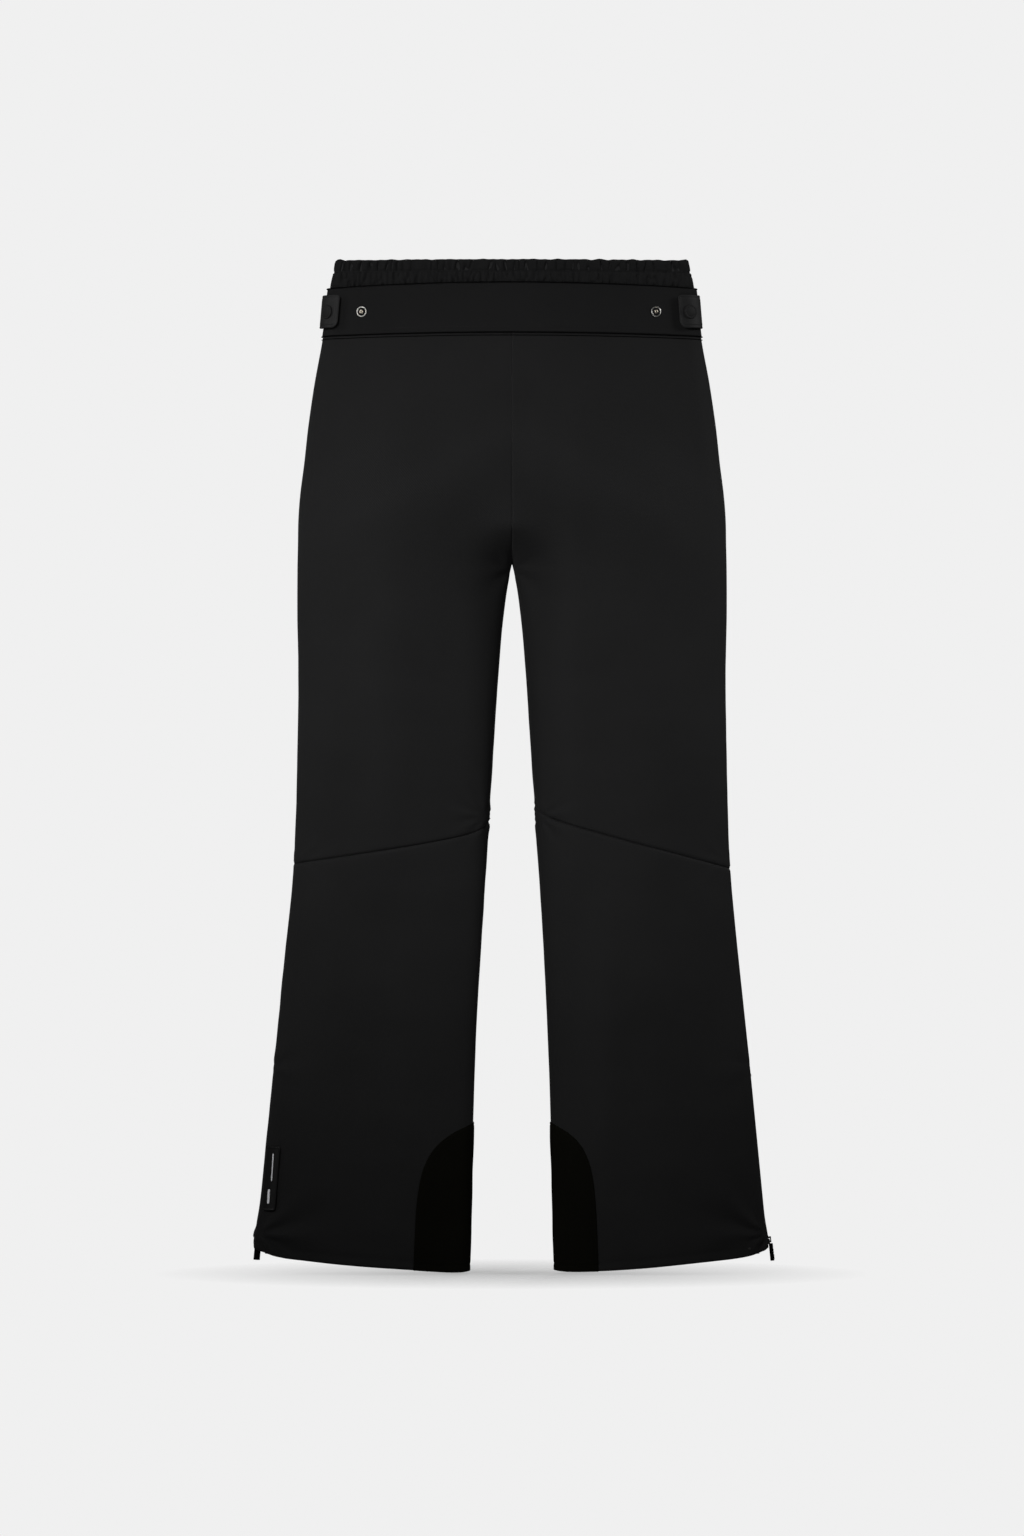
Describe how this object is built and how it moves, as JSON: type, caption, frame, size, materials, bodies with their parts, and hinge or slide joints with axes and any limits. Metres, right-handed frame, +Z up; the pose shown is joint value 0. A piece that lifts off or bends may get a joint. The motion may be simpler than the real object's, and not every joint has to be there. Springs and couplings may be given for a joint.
{
  "type": "ski pants",
  "caption": "Flared pull-on ski pants with an elastic waist, snap adjusting tabs, ankle zips, scuff guards and snow gaiters.",
  "frame": {"origin": "centre of the waist's top edge, where the wearer's waist holds the garment", "axes": "+Z up towards the waist, -Y the wearer's front, +X the wearer's left"},
  "size_m": [0.5572, 0.126, 1.082],
  "materials": {
    "shell_cloth": "matt softshell, fine twill",
    "yoke_cloth": "matt softshell, smooth",
    "casing_cloth": "gathered, channel stitched",
    "elastic": "knitted elastic",
    "piping": "dense twill welt",
    "snap_metal": "nickel plated",
    "snap_cap": "satin painted cap",
    "tab_rubber": "matt rubberised",
    "scuff_guard": "coated, slight sheen",
    "gaiter_cloth": "thin woven lining",
    "zip_tape": "herringbone tape",
    "zip_teeth": "moulded coil",
    "zip_metal": "gunmetal",
    "pull_rubber": "moulded grip",
    "label_rubber": null
  },
  "bodies": {
    "waist_and_seat": {"elastic_casing": "casing_cloth", "waist_elastic": "elastic", "front_yoke": "yoke_cloth", "back_yoke": "yoke_cloth", "yoke_top_piping": "piping", "yoke_foot_piping": "piping", "adjust_stud_left": "snap_metal", "closed_stud_left": "snap_metal", "stud_washers_left": "snap_metal", "seat_front_left": "shell_cloth", "hip_fold_front_left": "shell_cloth", "seat_back_left": "shell_cloth", "hip_fold_back_left": "shell_cloth", "adjust_stud_right": "snap_metal", "closed_stud_right": "snap_metal", "stud_washers_right": "snap_metal", "seat_front_right": "shell_cloth", "hip_fold_front_right": "shell_cloth", "seat_back_right": "shell_cloth", "hip_fold_back_right": "shell_cloth"},
    "upper_leg_left": {"thigh_front_left": "shell_cloth", "thigh_back_left": "shell_cloth", "knee_fold_front_left": "shell_cloth", "knee_fold_back_left": "shell_cloth"},
    "shin_left": {"lower_leg_front_left": "shell_cloth", "lower_leg_back_left": "shell_cloth", "scuff_guard_left": "scuff_guard", "gaiter_left": "gaiter_cloth", "gaiter_elastic_left": "elastic", "zip_tape_left": "zip_tape", "zip_chain_left": "zip_teeth", "zip_stops_left": "zip_metal", "hem_rivet": "snap_metal"},
    "waist_tab_left": {"tab_left": "tab_rubber", "tab_cap_left": "snap_cap", "tab_socket_left": "snap_metal"},
    "ankle_slider_left": {"zip_slider_left": "zip_metal"},
    "ankle_pull_left": {"zip_pull_left": "pull_rubber"},
    "upper_leg_right": {"thigh_front_right": "shell_cloth", "thigh_back_right": "shell_cloth", "knee_fold_front_right": "shell_cloth", "knee_fold_back_right": "shell_cloth"},
    "shin_right": {"lower_leg_front_right": "shell_cloth", "lower_leg_back_right": "shell_cloth", "scuff_guard_right": "scuff_guard", "gaiter_right": "gaiter_cloth", "gaiter_elastic_right": "elastic", "zip_tape_right": "zip_tape", "zip_chain_right": "zip_teeth", "zip_stops_right": "zip_metal", "label_patch": "label_rubber"},
    "waist_tab_right": {"tab_right": "tab_rubber", "tab_cap_right": "snap_cap", "tab_socket_right": "snap_metal"},
    "ankle_slider_right": {"zip_slider_right": "zip_metal"},
    "ankle_pull_right": {"zip_pull_right": "pull_rubber"}
  },
  "joints": [
    {"name": "hip_left", "type": "hinge", "parent": "waist_and_seat", "child": "upper_leg_left", "pos_m": [0.115, 0, -0.25], "axis": [-1, 0, 0], "range_deg": [-20, 90], "deforming": ["hip_fold_front_left", "hip_fold_back_left"]},
    {"name": "knee_left", "type": "hinge", "parent": "upper_leg_left", "child": "shin_left", "pos_m": [0.129, 0, -0.62], "axis": [1, 0, 0], "range_deg": [0, 110], "deforming": ["knee_fold_front_left", "knee_fold_back_left"]},
    {"name": "tab_peel_left", "type": "hinge", "parent": "waist_and_seat", "child": "waist_tab_left", "pos_m": [0.20137, 0, -0.05515], "axis": [-0.1093, 0, 0.994], "range_deg": [0, 120]},
    {"name": "zip_slide_left", "type": "slide", "parent": "shin_left", "child": "ankle_slider_left", "axis": [-0.0969, 0, 0.9953], "range_m": [0, 0.17]},
    {"name": "pull_swing_left", "type": "hinge", "parent": "ankle_slider_left", "child": "ankle_pull_left", "pos_m": [0.2756, 0, -1.04677], "axis": [0, -1, 0], "range_deg": [0, 155]},
    {"name": "hip_right", "type": "hinge", "parent": "waist_and_seat", "child": "upper_leg_right", "pos_m": [-0.115, 0, -0.25], "axis": [-1, 0, 0], "range_deg": [-20, 90], "deforming": ["hip_fold_front_right", "hip_fold_back_right"]},
    {"name": "knee_right", "type": "hinge", "parent": "upper_leg_right", "child": "shin_right", "pos_m": [-0.129, 0, -0.62], "axis": [1, 0, 0], "range_deg": [0, 110], "deforming": ["knee_fold_front_right", "knee_fold_back_right"]},
    {"name": "tab_peel_right", "type": "hinge", "parent": "waist_and_seat", "child": "waist_tab_right", "pos_m": [-0.20137, 0, -0.05515], "axis": [-0.1093, 0, -0.994], "range_deg": [0, 120]},
    {"name": "zip_slide_right", "type": "slide", "parent": "shin_right", "child": "ankle_slider_right", "axis": [0.0969, 0, 0.9953], "range_m": [0, 0.17]},
    {"name": "pull_swing_right", "type": "hinge", "parent": "ankle_slider_right", "child": "ankle_pull_right", "pos_m": [-0.27085, 0.0138, -1.04682], "axis": [0.6146, 0.7866, -0.0599], "range_deg": [0, 155]}
  ]
}
